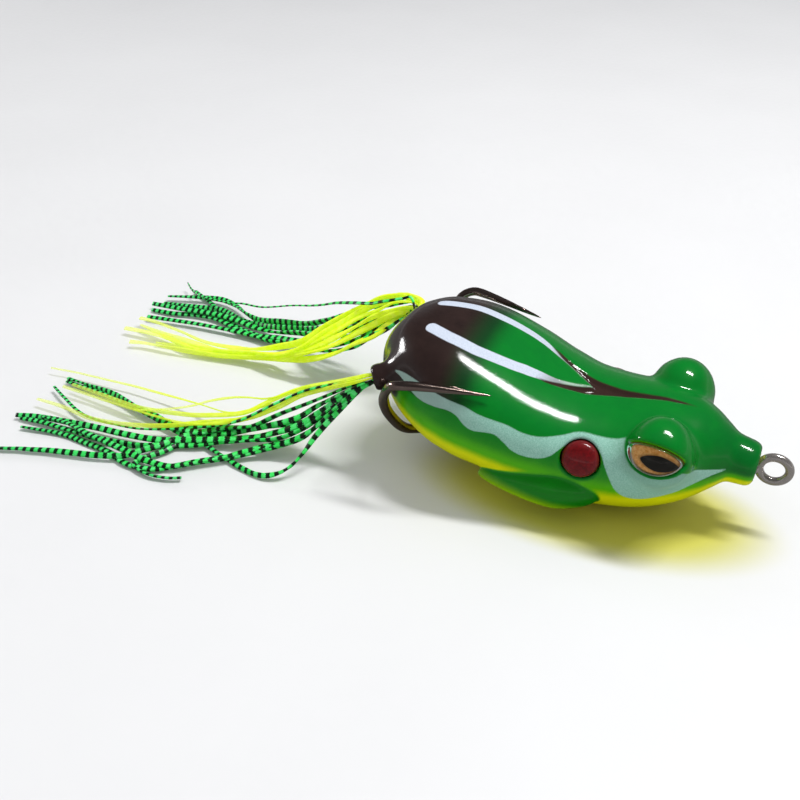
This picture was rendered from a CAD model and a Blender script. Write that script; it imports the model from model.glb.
"""Looks of the hollow-bodied frog popper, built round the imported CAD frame.

Lengths below are millimetres in the lure's own frame (ring centre at 0, +X out of the nose, +Y its left, +Z up) unless
a name says ground: the lure lies on its belly pitched nose-down, and PLACE carries its frame onto the ground.
"""
import math

import bmesh
import bpy
import numpy as np
from mathutils import Matrix, Vector


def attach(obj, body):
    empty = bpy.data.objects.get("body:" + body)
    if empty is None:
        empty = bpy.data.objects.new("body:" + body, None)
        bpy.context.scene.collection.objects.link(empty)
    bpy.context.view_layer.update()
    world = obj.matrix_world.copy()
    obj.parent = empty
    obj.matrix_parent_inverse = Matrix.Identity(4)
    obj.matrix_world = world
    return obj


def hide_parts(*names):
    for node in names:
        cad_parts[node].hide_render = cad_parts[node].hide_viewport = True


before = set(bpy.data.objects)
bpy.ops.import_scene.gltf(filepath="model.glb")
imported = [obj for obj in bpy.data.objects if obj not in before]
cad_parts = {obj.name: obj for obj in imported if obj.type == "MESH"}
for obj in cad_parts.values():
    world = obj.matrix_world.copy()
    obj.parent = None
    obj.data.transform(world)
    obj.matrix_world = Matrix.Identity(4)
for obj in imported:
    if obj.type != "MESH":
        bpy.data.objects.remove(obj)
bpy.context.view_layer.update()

MM = 0.001
PITCH = math.radians(3.4)
GROUND_X, GROUND_Z = 26.2, 11.25
ROT = np.array([[math.cos(PITCH), 0, math.sin(PITCH)], [0, 1, 0], [-math.sin(PITCH), 0, math.cos(PITCH)]])
SHIFT = np.array([GROUND_X, 0, GROUND_Z])


def to_ground(p):
    return np.asarray(p, float) @ ROT.T + SHIFT


def to_lure(p):
    return (np.asarray(p, float) - SHIFT) @ ROT


# ------------------------------------------------------------------ the shapes the CAD design is drawn from
SECTIONS = np.array([
    (-2.3, 0.0, 2.9, 2.9, -2.9), (-3.4, 0.0, 3.5, 3.4, -3.7), (-6.0, 0.0, 3.8, 4.0, -3.8), (-8.0, -0.2, 5.3, 5.1, -5.4),
    (-10.0, -0.5, 6.9, 6.2, -7.3), (-13.0, -0.8, 8.8, 7.1, -9.5), (-17.0, -1.1, 10.5, 7.2, -11.4),
    (-21.0, -1.4, 11.6, 6.6, -12.5), (-25.0, -1.5, 12.3, 5.9, -13.0), (-29.0, -1.4, 12.8, 5.7, -13.0),
    (-34.0, -0.8, 13.7, 6.7, -12.5), (-40.0, 0.2, 14.7, 8.8, -11.6), (-46.0, 1.2, 15.0, 10.7, -10.9),
    (-51.0, 1.8, 14.0, 11.8, -10.2), (-55.0, 2.0, 12.1, 12.0, -8.9), (-59.0, 2.1, 9.2, 10.8, -7.0),
    (-62.0, 2.0, 5.6, 8.0, -4.2), (-63.7, 1.8, 2.7, 5.0, -1.7), (-64.3, 1.6, 0.0, 1.6, 1.6)])
SQUARE_TOP, SQUARE_BOTTOM = 2.45, 2.1
WALL = 1.3
EYE_CENTRE = np.array((-16.4, 8.7, 3.7))
EYE_R = 5.3
EYE_DIR = np.array((-0.135, 0.925, 0.335)) / np.linalg.norm((-0.135, 0.925, 0.335))
EYE_HALF_LENGTH, EYE_UP, EYE_DOWN = 4.3, 1.95, 2.7
EAR_AT = np.array((-27.15, 11.2, 0.1))
EAR_DIR = np.array((0.04, 0.94, 0.33)) / np.linalg.norm((0.04, 0.94, 0.33))
EAR_R = 2.85
WIRE_R, RING_R = 0.66, 2.2
HOOK_HALF = [
    (-2.35, 0.36, -0.42), (-4.6, 0.62, -0.80), (-12.0, 0.62, -2.1), (-24.0, 0.62, -4.2), (-36.0, 0.62, -6.3),
    (-47.0, 0.62, -8.25), (-51.2, 1.5, -9.15), (-54.6, 3.4, -9.6), (-56.9, 5.7, -8.9), (-58.1, 7.3, -7.5),
    (-59.0, 9.1, -4.9), (-59.5, 10.6, -2.3), (-59.4, 12.0, 0.4), (-58.7, 13.4, 2.7), (-57.7, 14.8, 4.8),
    (-56.7, 15.7, 6.3), (-55.0, 16.1, 7.2), (-52.8, 15.6, 7.5), (-49.0, 14.6, 7.6), (-45.4, 13.6, 7.6),
    (-41.8, 12.6, 7.6)]
BOSS_ROOT, BOSS_MOUTH = np.array((-56.8, 6.6, 2.3)), np.array((-62.8, 9.6, 1.7))
BOSS_R, BORE_R, SWING_DEPTH = 2.35, 1.85, 0.5
MOUTH_R = 1.3
NUB_ROOT, NUB_MOUTH = BOSS_ROOT + (0, 0, 1.9), BOSS_MOUTH + (0.2, 0.05, 0.3)        # as moulded, lips and all


def pchip(xs, ys, x):
    """Monotone cubic interpolation of the design table, vectorised."""
    h, d = np.diff(xs), np.diff(ys) / np.diff(xs)
    m = np.zeros(len(xs))
    m[0], m[-1] = d[0], d[-1]
    for i in range(1, len(xs) - 1):
        if d[i - 1] * d[i] > 0:
            w1, w2 = 2 * h[i] + h[i - 1], h[i] + 2 * h[i - 1]
            m[i] = (w1 + w2) / (w1 / d[i - 1] + w2 / d[i])
    k = np.clip(np.searchsorted(xs, x) - 1, 0, len(xs) - 2)
    t = (x - xs[k]) / h[k]
    return ((1 + 2 * t) * (1 - t) ** 2 * ys[k] + t * (1 - t) ** 2 * h[k] * m[k]
            + t * t * (3 - 2 * t) * ys[k + 1] + t * t * (t - 1) * h[k] * m[k + 1])


def section(x):
    """Centre height, half width, rise and drop of the body section at x."""
    rows = SECTIONS[::-1]
    q = np.clip(x, -64.3, -2.3)
    zc, w, zt, zb = (pchip(rows[:, 0], rows[:, k], q) for k in (1, 2, 3, 4))
    up, down = zt - zc, zc - zb
    s = np.sqrt(np.clip((q + 64.3) / 2.3, 0, 1))           # round end cap behind x = -62
    tail = q < -62.0
    w = np.where(tail, 5.6 * s, w)
    up = np.where(tail, 6.0 * s, up)
    down = np.where(tail, 6.2 * s, down)
    return zc, np.maximum(w, 0.02), np.maximum(up, 0.02), np.maximum(down, 0.02)


def smin(a, b, k):
    h = np.maximum(k - np.abs(a - b), 0.0) / k
    return np.minimum(a, b) - h * h * k * 0.25


def smax(a, b, k):
    return -smin(-a, -b, k)


def smoothstep(a, b, x):
    t = np.clip((x - a) / (b - a), 0, 1)
    return t * t * (3 - 2 * t)


def almond_axes(side):
    n = Vector((EYE_DIR[0], EYE_DIR[1] * side, EYE_DIR[2]))
    u = (Vector((1, 0, 0)) - n * n.x).normalized()
    v = n.cross(u) if n.cross(u).z > 0 else u.cross(n)
    c = np.array((EYE_CENTRE[0], EYE_CENTRE[1] * side, EYE_CENTRE[2]))
    return c, np.array(u), np.array(v), np.array(n)


# ------------------------------------------------------------------ mesh helpers
def mesh_from(name, verts_mm, faces, smooth=True, ground=False):
    """Object in metres, in the row frame."""
    v = np.asarray(verts_mm, float) if ground else to_ground(verts_mm)
    me = bpy.data.meshes.new(name)
    me.from_pydata([tuple(p) for p in v * MM], [], [tuple(f) for f in faces])
    me.validate()
    me.polygons.foreach_set("use_smooth", [smooth] * len(me.polygons))
    me.update()
    o = bpy.data.objects.new(name, me)
    bpy.context.scene.collection.objects.link(o)
    return o


def attribute(o, name, values):
    a = o.data.attributes.new(name, "FLOAT", "POINT")
    a.data.foreach_set("value", np.ascontiguousarray(values, np.float32))


def smooth_path(points, count, ends=True):
    p = np.array(points, float)
    p = np.vstack([2 * p[0] - p[1], p, 2 * p[-1] - p[-2]])
    out = []
    for i in range(1, len(p) - 2):
        for t in np.linspace(0, 1, 16, endpoint=False):
            out.append(0.5 * ((2 * p[i]) + (-p[i - 1] + p[i + 1]) * t
                              + (2 * p[i - 1] - 5 * p[i] + 4 * p[i + 1] - p[i + 2]) * t ** 2
                              + (-p[i - 1] + 3 * p[i] - 3 * p[i + 1] + p[i + 2]) * t ** 3))
    out.append(p[-2])
    out = np.array(out)
    s = np.concatenate([[0], np.cumsum(np.linalg.norm(np.diff(out, axis=0), axis=1))])
    q = np.linspace(0, s[-1], count)
    return np.stack([np.interp(q, s, out[:, k]) for k in range(3)], axis=1)


def sweep(path, ra, rb, sides=8, power=2.0, up=(0, 0, 1), twist=None):
    """Skin of a superellipse section (half sizes ra across, rb up) carried along a path; closed with domed ends.
    Returns vertices, faces, and each vertex's distance along the path."""
    p = np.asarray(path, float)
    n = len(p)
    ra = np.broadcast_to(np.asarray(ra, float), (n,))
    rb = np.broadcast_to(np.asarray(rb, float), (n,))
    t = np.gradient(p, axis=0)
    t /= np.linalg.norm(t, axis=1)[:, None]
    a = np.cross(np.array(up, float), t[0])
    if np.linalg.norm(a) < 1e-3:
        a = np.cross(np.array((0, 1, 0.0)), t[0])
    a /= np.linalg.norm(a)
    rows, arc = [], np.concatenate([[0], np.cumsum(np.linalg.norm(np.diff(p, axis=0), axis=1))])
    ang = 2 * math.pi * (np.arange(sides) + 0.5) / sides
    cs, sn = np.cos(ang), np.sin(ang)
    ex = np.sign(cs) * np.abs(cs) ** (2 / power)
    ey = np.sign(sn) * np.abs(sn) ** (2 / power)
    for i in range(n):
        a = a - t[i] * (a @ t[i])
        a /= np.linalg.norm(a)
        b = np.cross(t[i], a)
        aa, bb = a, b
        if twist is not None:
            c, s = math.cos(twist[i]), math.sin(twist[i])
            aa, bb = a * c + b * s, b * c - a * s
        rows.append(p[i] + np.outer(ex * ra[i], aa) + np.outer(ey * rb[i], bb))
    verts = np.vstack([rows[0].mean(0)[None] - t[0] * min(ra[0], rb[0]) * 0.5] + rows
                      + [rows[-1].mean(0)[None] + t[-1] * min(ra[-1], rb[-1]) * 0.5])
    dist = np.concatenate([[0], np.repeat(arc, sides), [arc[-1]]])
    faces = []
    for i in range(n - 1):
        for j in range(sides):
            k = (j + 1) % sides
            faces.append((1 + i * sides + j, 1 + i * sides + k, 1 + (i + 1) * sides + k, 1 + (i + 1) * sides + j))
    last = 1 + (n - 1) * sides
    for j in range(sides):
        k = (j + 1) % sides
        faces.append((0, 1 + k, 1 + j))
        faces.append((last + j, last + k, len(verts) - 1))
    return verts, faces, dist


def joined(parts):
    verts, faces, extra, base = [], [], [], 0
    for v, f, e in parts:
        verts.append(v)
        faces += [tuple(i + base for i in q) for q in f]
        extra.append(e)
        base += len(v)
    return np.vstack(verts), faces, np.concatenate(extra, axis=0)


def lathe(profile, centre, axis, steps=64):
    """Closed solid of revolution from (along, radius) pairs; the first and last lie on the axis."""
    axis = np.asarray(axis, float) / np.linalg.norm(axis)
    u = np.cross(axis, (0.3, 0.1, 1.0))
    u /= np.linalg.norm(u)
    v = np.cross(axis, u)
    verts, faces = [np.asarray(centre) + axis * profile[0][0]], []
    for along, r in profile[1:-1]:
        for i in range(steps):
            a = 2 * math.pi * i / steps
            verts.append(np.asarray(centre) + axis * along + (u * math.cos(a) + v * math.sin(a)) * r)
    verts.append(np.asarray(centre) + axis * profile[-1][0])
    rows = len(profile) - 2
    for i in range(steps):
        j = (i + 1) % steps
        faces.append((0, 1 + j, 1 + i))
        for r in range(rows - 1):
            faces.append((1 + r * steps + i, 1 + r * steps + j, 1 + (r + 1) * steps + j, 1 + (r + 1) * steps + i))
        faces.append((1 + (rows - 1) * steps + i, 1 + (rows - 1) * steps + j, len(verts) - 1))
    return np.array(verts), faces


# ------------------------------------------------------------------ material helpers
def srgb(r, g, b):
    out = []
    for c in (r, g, b):
        c /= 255.0
        out.append(c / 12.92 if c <= 0.04045 else ((c + 0.055) / 1.055) ** 2.4)
    return (*out, 1.0)


class Paint:
    """A material being wired: each call adds a node and returns its output."""

    def __init__(self, name):
        self.m = bpy.data.materials.new(name)
        self.m.use_nodes = True
        self.t = self.m.node_tree
        self.t.nodes.clear()
        self.out = self.t.nodes.new("ShaderNodeOutputMaterial")

    def node(self, kind, **props):
        n = self.t.nodes.new(kind)
        for k, v in props.items():
            setattr(n, k, v)
        return n

    def put(self, socket, value):
        if isinstance(value, bpy.types.NodeSocket):
            self.t.links.new(value, socket)
        else:
            socket.default_value = value

    def attr(self, name):
        return self.node("ShaderNodeAttribute", attribute_name=name).outputs["Fac"]

    def math(self, op, a, b=0.0, clamp=False):
        n = self.node("ShaderNodeMath", operation=op, use_clamp=clamp)
        self.put(n.inputs[0], a)
        self.put(n.inputs[1], b)
        return n.outputs[0]

    def step(self, value, lo, hi, to_lo=0.0, to_hi=1.0):
        n = self.node("ShaderNodeMapRange", interpolation_type="SMOOTHSTEP")
        self.put(n.inputs["Value"], value)
        for k, v in (("From Min", lo), ("From Max", hi), ("To Min", to_lo), ("To Max", to_hi)):
            n.inputs[k].default_value = v
        return n.outputs["Result"]

    def mix(self, fac, a, b, blend="MIX"):
        n = self.node("ShaderNodeMix", data_type="RGBA", blend_type=blend)
        self.put(n.inputs["Factor"], fac)
        self.put(n.inputs["A"] if False else [s for s in n.inputs if s.name == "A" and s.type == "RGBA"][0], a)
        self.put([s for s in n.inputs if s.name == "B" and s.type == "RGBA"][0], b)
        return [s for s in n.outputs if s.type == "RGBA"][0]

    def coords(self):
        """Object coordinates in millimetres."""
        n = self.node("ShaderNodeVectorMath", operation="SCALE")
        self.put(n.inputs[0], self.node("ShaderNodeTexCoord").outputs["Object"])
        n.inputs["Scale"].default_value = 1000.0
        return n.outputs[0]

    def stretch(self, vector, scale, rotation=(0, 0, 0)):
        n = self.node("ShaderNodeMapping")
        self.put(n.inputs["Vector"], vector)
        n.inputs["Scale"].default_value = scale
        n.inputs["Rotation"].default_value = rotation
        return n.outputs[0]

    def noise(self, vector, scale, detail=2.0, rough=0.5):
        n = self.node("ShaderNodeTexNoise")
        self.put(n.inputs["Vector"], vector)
        n.inputs["Scale"].default_value = scale
        n.inputs["Detail"].default_value = detail
        n.inputs["Roughness"].default_value = rough
        return n.outputs["Fac"]

    def voronoi(self, vector, scale, feature="F1"):
        n = self.node("ShaderNodeTexVoronoi", feature=feature)
        self.put(n.inputs["Vector"], vector)
        n.inputs["Scale"].default_value = scale
        return n.outputs["Distance"]

    def bump(self, height, strength, distance, normal=None):
        n = self.node("ShaderNodeBump")
        self.put(n.inputs["Height"], height)
        n.inputs["Strength"].default_value = strength
        n.inputs["Distance"].default_value = distance
        if normal is not None:
            self.put(n.inputs["Normal"], normal)
        return n.outputs[0]

    def principled(self, **inputs):
        n = self.node("ShaderNodeBsdfPrincipled")
        for k, v in inputs.items():
            self.put(n.inputs[k.replace("_", " ")], v)
        return n.outputs[0]

    def finish(self, shader):
        self.put(self.out.inputs["Surface"], shader)
        return self.m


# ------------------------------------------------------------------ soft body: one implicit solid, meshed by surface nets
def axis_distance(P, a, b):
    """Distance along and away from the line a to b."""
    d = (b - a) / np.linalg.norm(b - a)
    q = P - a
    along = q @ d
    away = np.sqrt(np.maximum((q * q).sum(-1) - along ** 2, 0))
    return along, away, np.linalg.norm(b - a)


WEDGE_X = np.array([-37.5, -36.0, -34.0, -32.0, -30.0, -28.0, -25.0, -22.0, -19.0, -16.0, -12.6])
WEDGE_W = np.array([5.6, 5.2, 4.2, 3.3, 2.6, 1.95, 1.15, 0.75, 0.55, 0.36, 0.0])
LINE_X = np.array([-55.8, -51.4, -47.0, -42.0, -39.0, -36.9, -34.5, -32.6, -30.9, -29.2])
LINE_Y = np.array([3.5, 4.9, 5.6, 5.7, 5.15, 4.35, 3.2, 2.15, 1.15, 0.0])


def back_shapes(x, y):
    """Signed distances, positive inside: back stripes, the teardrop between them, the spine wedge ahead of it."""
    y = y + np.interp(x, [-56, -50, -42, -36, -31], [1.20, 0.95, 0.72, 0.45, 0.10])       # the print sits a little off centre
    near = y < 0
    tight = np.where(near, np.interp(x, [-51.4, -47, -42, -39, -36.9, -34.5, -32.6, -30],
                                     [1.0, 0.955, 0.82, 0.77, 0.775, 0.82, 0.87, 0.90]), 1.0)
    y = y / tight
    ay = np.abs(y)
    line = smooth_path(np.stack([LINE_X, LINE_Y, 0 * LINE_X], 1), 90)
    best = np.full(x.shape, 1e9)
    at = np.zeros(x.shape)
    for (x0, y0, _), (x1, y1, _) in zip(line[:-1], line[1:]):
        t = np.clip(((x - x0) * (x1 - x0) + (ay - y0) * (y1 - y0)) / ((x1 - x0) ** 2 + (y1 - y0) ** 2), 0, 1)
        d = np.hypot(x - x0 - t * (x1 - x0), ay - y0 - t * (y1 - y0))
        at = np.where(d < best, x0 + t * (x1 - x0), at)
        best = np.minimum(best, d)
    bands = [-56, -50, -42, -39, -36.5, -34, -30, -29.2]
    half = np.where(near, np.interp(at, bands, [0.96, 1.04, 1.16, 1.20, 0.86, 0.30, 0.13, 0.10]),
                    np.interp(at, bands, [0.90, 0.98, 0.96, 0.86, 0.56, 0.24, 0.12, 0.09]))
    blunt = near & (at < -54.8)                                   # the nearer stripe starts a little further forward
    best = np.where(blunt, np.hypot(x + 54.8, ay - np.interp(-54.8, line[:, 0], line[:, 1])), best)
    stripes = half - best
    ly = np.interp(x, line[:, 0], line[:, 1], left=-1.0, right=-1.0)
    tear = np.where((x > -56) & (x < -29.2), (ly - ay) * 0.85, -np.hypot(x + 29.2, ay))
    tear = np.where(x <= -56, 0 * x - 1, tear)
    wy = y - 0.22 * smoothstep(-29, -25, x)
    wedge = (np.interp(x, WEDGE_X, WEDGE_W, left=-3.0, right=-1.0) - np.abs(wy)) * 0.9
    wedge = np.minimum(wedge, np.minimum(x + 38.6, -12.6 - x))
    return stripes, tear, np.minimum(wedge, -tear - half * 0.6)


def foreleg_distance(P, side):
    tilt = (Matrix.Rotation(math.radians(-8.0 * side), 3, "Z") @ Matrix.Rotation(math.radians(-3.0), 3, "Y"))
    q = (P - np.array((-32.8, 11.4 * side, -6.9))) @ np.array(tilt)
    r = np.array((9.8, 3.0, 3.5))
    taper = np.clip(1.0 + 0.045 * (q[..., 0] + 0.0), 0.55, 1.12)        # slim towards the rear, full at the front
    q = q / np.stack([np.ones_like(taper), taper, taper], -1)
    k0 = np.sqrt(((q / r) ** 2).sum(-1))
    k1 = np.sqrt(((q / r ** 2) ** 2).sum(-1))
    return k0 * (k0 - 1) / np.maximum(k1, 1e-6) * np.minimum(taper, 1)


def almond(p, q, grow=0.0):
    """Signed distance to the eye opening's outline in its own plane, negative inside."""
    a = EYE_HALF_LENGTH + grow
    h = np.where(q > 0, EYE_UP, EYE_DOWN) + grow
    e = 2 / 1.15
    pa, qa = np.abs(p / a), np.abs(q / h)
    g = pa ** 2 + qa ** e - 1
    gx = 2 * pa / a
    gy = e * np.maximum(qa, 1e-4) ** (e - 1) / h
    return g / np.maximum(np.hypot(gx, gy), 0.25)


def body_field(X, Y, Z, h):
    """Signed distance (mm) of the soft body on a grid."""
    zc, w, up, down = (a[:, None, None] for a in section(X[:, 0, 0]))
    blend = np.clip((-6.0 - X) / 12.0, 0, 1)
    dz = Z - zc
    top = dz > 0
    n = 2.0 + blend * (np.where(top, SQUARE_TOP, SQUARE_BOTTOM) - 2.0)
    g = (np.abs(Y / w) ** n + np.abs(dz / np.where(top, up, down)) ** n) ** (1 / n)
    r = np.hypot(Y, dz)
    f = r - r / np.maximum(g, 1e-4)
    gx, gy, gz = np.gradient(f, h)
    base = f / np.clip(np.sqrt(gx ** 2 + gy ** 2 + gz ** 2), 0.9, 4.0)
    base = smax(base, X + 2.3, 0.7)
    base = np.maximum(base, -64.35 - X)
    P = np.stack([X, Y, Z], -1)
    # relief of the back: raised teardrop, sunk wedge
    xs, ys = X[:, :, 0], Y[:, :, 0]
    stripes, tear, wedge = back_shapes(xs, ys)
    sink = 0.75 * smoothstep(-0.15, 0.75, wedge) * smoothstep(-37.4, -34.5, xs) * smoothstep(-13.2, -17.0, xs)
    rise = 0.22 * smoothstep(-0.35, 0.5, tear) * smoothstep(-47.0, -36.0, xs)
    d = base + np.where(dz > 0.5, (sink - rise)[:, :, None], 0.0)
    for side in (1, -1):
        q = P - EYE_CENTRE * (1, side, 1)
        slim = 1.0 - 0.14 * smoothstep(-2.2, 4.0, 0.75 * q[..., 2] - 0.65 * side * q[..., 1])   # narrower at the crown
        melt = 0.8 + 2.2 * np.maximum(smoothstep(0.8, -2.2, q[..., 2]), 0.6 * smoothstep(1.5, 4.5, q[..., 0]))
        d = smin(d, np.sqrt((q[..., 0] / slim) ** 2 + q[..., 1] ** 2 + q[..., 2] ** 2) - EYE_R, melt)
    for side in (1, -1):
        d = smin(d, foreleg_distance(P, side), 0.3)
        a, b = NUB_ROOT * (1, side, 1), NUB_MOUTH * (1, side, 1)
        along, away, length = axis_distance(P, a, b)
        t = np.clip(along / length, -0.3, 1)
        cone = away - np.interp(t, [-0.3, 0.0, 0.55, 0.8, 1.0], [3.5, 3.2, 2.1, 1.9, 1.9])
        knob = np.sqrt(((along - (length - 1.15)) * 1.3) ** 2 + away ** 2) - 2.2     # swollen lip at the mouth
        cone = smax(smin(cone, knob, 0.5), along - length, 0.45)
        cone = smax(cone, -2.0 - along, 0.5)
        d = smin(d, cone, 2.0)
    # hollow, openings and seats
    cavity = np.maximum(np.maximum(base + WALL, X + 8.6), -61.2 - X)
    d = smax(d, -cavity, 0.3)
    nose = np.maximum(np.hypot(Y, Z) - 2.3, -3.8 - X)
    d = smax(d, -nose, 0.35)
    mid = -0.46 + (X + 2.6) * 0.1777
    bore = np.maximum(np.maximum((np.sqrt((Y / 1.75) ** 2 + ((Z - mid) / 1.15) ** 2) - 1) * 1.15, X + 2.6), -12.0 - X)
    d = smax(d, -bore, 0.25)
    slot = np.maximum(np.maximum(np.abs(X + 50.13) - 6.65, np.abs(Y) - 4.55), np.abs(Z + 9.43) - 3.15)
    d = smax(d, -slot, 0.35)
    for side in (1, -1):
        a, b = NUB_ROOT * (1, side, 1), NUB_MOUTH * (1, side, 1)
        along, away, length = axis_distance(P, a, b)
        flare = MOUTH_R + 0.2 * np.clip((along - length + 1.0) / 1.0, 0, 2)
        d = smax(d, -np.maximum(away - flare, length - 3.6 - along), 0.3)
        c, u, v, n3 = almond_axes(side)
        q = P - c
        pocket = np.maximum(np.maximum(almond(q @ u, q @ v), 4.35 - np.linalg.norm(q, axis=-1)), 1.5 - q @ n3)
        d = smax(d, -pocket, 0.4)
        e, ax = EAR_AT * (1, side, 1), EAR_DIR * (1, side, 1)
        along, away, _ = axis_distance(P, e, e + ax)
        d = smax(d, -np.maximum(np.maximum(away - (EAR_R + 0.15), -0.9 - along), along - 4.0), 0.35)
    floor = -(-math.sin(PITCH) * X + math.cos(PITCH) * Z + GROUND_Z)
    return smax(d, floor, 0.25)


def blurred(a):
    for axis in range(3):
        lo, hi = np.roll(a, 1, axis), np.roll(a, -1, axis)
        a = 0.25 * lo + 0.5 * a + 0.25 * hi
    return a


def surface_nets(S):
    """Vertices in grid units and quads of the zero surface of S (negative inside)."""
    ins = S < 0
    c = [ins[dx:S.shape[0] - 1 + dx, dy:S.shape[1] - 1 + dy, dz:S.shape[2] - 1 + dz]
         for dx in (0, 1) for dy in (0, 1) for dz in (0, 1)]
    any_in, all_in = np.zeros_like(c[0]), np.ones_like(c[0])
    for q in c:
        any_in |= q
        all_in &= q
    active = any_in & ~all_in
    idx = np.argwhere(active)
    number = -np.ones(active.shape, np.int64)
    number[active] = np.arange(len(idx))
    corners = np.array([(dx, dy, dz) for dx in (0, 1) for dy in (0, 1) for dz in (0, 1)])
    vals = np.stack([S[tuple((idx + k).T)] for k in corners], 1)
    acc, cnt = np.zeros((len(idx), 3)), np.zeros(len(idx))
    for i in range(8):
        for j in range(i + 1, 8):
            if np.abs(corners[i] - corners[j]).sum() != 1:
                continue
            m = (vals[:, i] < 0) != (vals[:, j] < 0)
            t = vals[:, i] / np.where(m, vals[:, i] - vals[:, j], 1)
            acc += (corners[i] + (corners[j] - corners[i]) * t[:, None]) * m[:, None]
            cnt += m
    verts = idx + acc / cnt[:, None]
    quads = []
    for axis in range(3):
        sl0, sl1 = [slice(None)] * 3, [slice(None)] * 3
        sl0[axis], sl1[axis] = slice(0, -1), slice(1, None)
        a, b = ins[tuple(sl0)], ins[tuple(sl1)]
        e = np.argwhere(a != b)
        o1, o2 = (axis + 1) % 3, (axis + 2) % 3
        e = e[(e[:, o1] > 0) & (e[:, o2] > 0) & (e[:, o1] < S.shape[o1] - 1) & (e[:, o2] < S.shape[o2] - 1)]
        s1, s2 = np.zeros(3, int), np.zeros(3, int)
        s1[o1], s2[o2] = 1, 1
        q = np.stack([number[tuple(k.T)] for k in (e - s1 - s2, e - s2, e, e - s1)], 1)
        flip = ~a[tuple(e.T)]
        q[flip] = q[flip][:, ::-1]
        quads.append(q)
    return verts, np.vstack(quads)


def sampler(S):
    def at(v):
        g = np.clip(v, 0, np.array(S.shape) - 1.001)
        i = g.astype(int)
        f = g - i
        out = 0
        for dx in (0, 1):
            for dy in (0, 1):
                for dz in (0, 1):
                    w = ((f[:, 0] if dx else 1 - f[:, 0]) * (f[:, 1] if dy else 1 - f[:, 1])
                         * (f[:, 2] if dz else 1 - f[:, 2]))
                    out = out + w * S[i[:, 0] + dx, i[:, 1] + dy, i[:, 2] + dz]
        return out
    return at


def body_mesh(h):
    lo = np.array((-66.2, -17.4, -15.0))
    hi = np.array((-1.4, 17.4, 13.8))
    n = np.ceil((hi - lo) / h).astype(int) + 1
    axes = [lo[k] + h * np.arange(n[k]) for k in range(3)]
    X, Y, Z = np.meshgrid(*axes, indexing="ij")
    S = blurred(body_field(X, Y, Z, h))
    G = np.gradient(S, 1.0)
    v, q = surface_nets(S)
    at, gat = sampler(S), [sampler(g) for g in G]
    e = np.vstack([q[:, [0, 1]], q[:, [1, 2]], q[:, [2, 3]], q[:, [3, 0]]])
    for step in range(6):
        if step < 4:                                   # even out the quads along the surface, then return to it
            s = np.zeros_like(v)
            for k in range(3):
                s[:, k] = (np.bincount(e[:, 0], v[e[:, 1], k], len(v)) + np.bincount(e[:, 1], v[e[:, 0], k], len(v)))
            deg = np.bincount(e[:, 0], minlength=len(v)) + np.bincount(e[:, 1], minlength=len(v))
            move = s / deg[:, None] - v
            g = np.stack([f(v) for f in gat], 1)
            g /= np.maximum(np.linalg.norm(g, axis=1), 1e-9)[:, None]
            v = v + 0.5 * (move - g * (move * g).sum(1)[:, None])
        g = np.stack([f(v) for f in gat], 1)
        gg = np.maximum((g * g).sum(1), 1e-4)
        v = v - g * np.clip(at(v) / gg, -0.5, 0.5)[:, None]
    g = np.stack([f(v) for f in gat], 1)
    g /= np.maximum(np.linalg.norm(g, axis=1), 1e-9)[:, None]
    return v * h + lo, q, g


def polygon_distance(px, py, poly):
    """Signed distance to a closed outline, positive inside."""
    d = np.full(px.shape, 1e9)
    inside = np.zeros(px.shape, bool)
    for (x0, y0), (x1, y1) in zip(poly, np.roll(poly, -1, 0)):
        t = np.clip(((px - x0) * (x1 - x0) + (py - y0) * (y1 - y0)) / ((x1 - x0) ** 2 + (y1 - y0) ** 2 + 1e-12), 0, 1)
        d = np.minimum(d, np.hypot(px - x0 - t * (x1 - x0), py - y0 - t * (y1 - y0)))
        cross = ((y0 > py) != (y1 > py)) & (px < (x1 - x0) * (py - y0) / (y1 - y0 + 1e-12) + x0)
        inside ^= cross
    return np.where(inside, d, -d)


# Pale side stripe, wavy below, running into the cheek patch under the eye: outline in side view (x, z)
SIDE_STRIPE = [
    (-58.9, 5.1), (-57.4, 5.6), (-55.4, 5.9), (-53.4, 6.0), (-48.9, 5.7), (-45.6, 5.4), (-43.2, 4.7), (-41.0, 4.3),
    (-38.6, 3.9), (-36.2, 3.1), (-33.7, 2.8), (-30.7, 3.2), (-28.2, 3.8), (-24.6, 3.9), (-22.5, 4.2), (-20.6, 5.0),
    (-18.5, 5.0), (-15.0, 4.6), (-12.2, 3.4), (-11.0, 1.9), (-9.8, 1.15), (-8.0, 0.8), (-6.6, 0.5), (-8.5, -0.2),
    (-10.7, -1.5), (-13.2, -3.3), (-16.2, -4.8), (-18.3, -5.2), (-19.9, -4.8), (-21.2, -3.6), (-22.3, -1.6),
    (-23.3, 0.3), (-24.4, 2.0), (-26.0, 2.7), (-28.4, 2.6), (-30.2, 1.6), (-31.4, 0.3), (-33.0, -0.5), (-35.2, -0.6),
    (-37.0, 0.0), (-38.6, 1.3), (-40.0, 2.2), (-41.6, 2.2), (-43.4, 2.0), (-44.8, 2.5), (-46.2, 3.7), (-47.8, 4.1),
    (-50.3, 3.7), (-53.3, 3.5), (-55.4, 4.0), (-57.4, 4.8)]


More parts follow.
